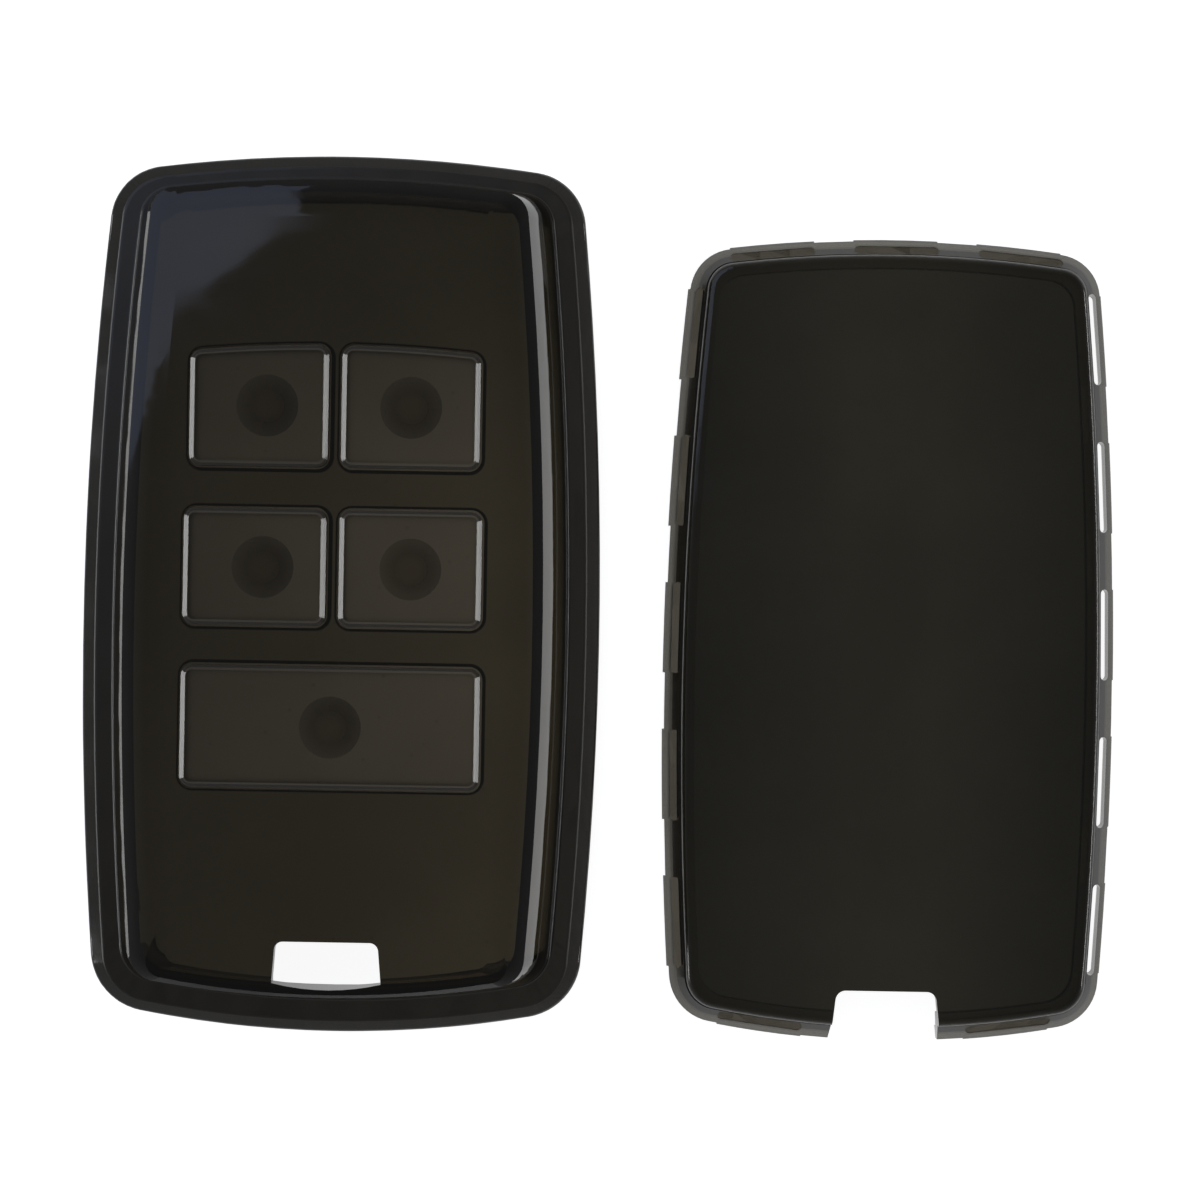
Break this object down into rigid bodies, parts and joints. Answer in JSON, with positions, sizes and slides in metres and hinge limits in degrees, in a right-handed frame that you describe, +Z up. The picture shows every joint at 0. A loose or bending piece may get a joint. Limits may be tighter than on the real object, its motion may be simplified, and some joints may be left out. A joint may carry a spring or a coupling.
{
  "type": "key fob cover",
  "caption": "Smoked translucent soft moulded cover for a car key fob: a front half with button pads and a ring slot, and a back half that snaps into its rim.",
  "frame": {"origin": "on the table, under the middle of the pair as the halves lie side by side", "axes": "+X across from the front half to the back half, +Y from the ring ends to the top ends, +Z up out of the outer faces"},
  "size_m": [0.0968, 0.082, 0.0125],
  "materials": {
    "smoked_shell": "glossy, smoked and translucent",
    "smoked_pads": "glossy, smoked and translucent"
  },
  "bodies": {
    "front": {"front_shell": "smoked_shell"},
    "upper_left": {"upper_left_button": "smoked_pads"},
    "upper_right": {"upper_right_button": "smoked_pads"},
    "middle_left": {"middle_left_button": "smoked_pads"},
    "middle_right": {"middle_right_button": "smoked_pads"},
    "lower": {"lower_button": "smoked_pads"},
    "back": {"back_shell": "smoked_shell"}
  },
  "joints": [
    {"name": "upper_left_press", "type": "slide", "parent": "front", "child": "upper_left", "axis": [0, 0, -1], "range_m": [0, 0.0008], "stiffness_N_per_m": 400},
    {"name": "upper_right_press", "type": "slide", "parent": "front", "child": "upper_right", "axis": [0, 0, -1], "range_m": [0, 0.0008], "stiffness_N_per_m": 400},
    {"name": "middle_left_press", "type": "slide", "parent": "front", "child": "middle_left", "axis": [0, 0, -1], "range_m": [0, 0.0008], "stiffness_N_per_m": 400},
    {"name": "middle_right_press", "type": "slide", "parent": "front", "child": "middle_right", "axis": [0, 0, -1], "range_m": [0, 0.0008], "stiffness_N_per_m": 400},
    {"name": "lower_press", "type": "slide", "parent": "front", "child": "lower", "axis": [0, 0, -1], "range_m": [0, 0.0008], "stiffness_N_per_m": 400},
    {"name": "back_lift", "type": "slide", "parent": "front", "child": "back", "axis": [0, 0, 1], "range_m": [0, 0.03]}
  ]
}
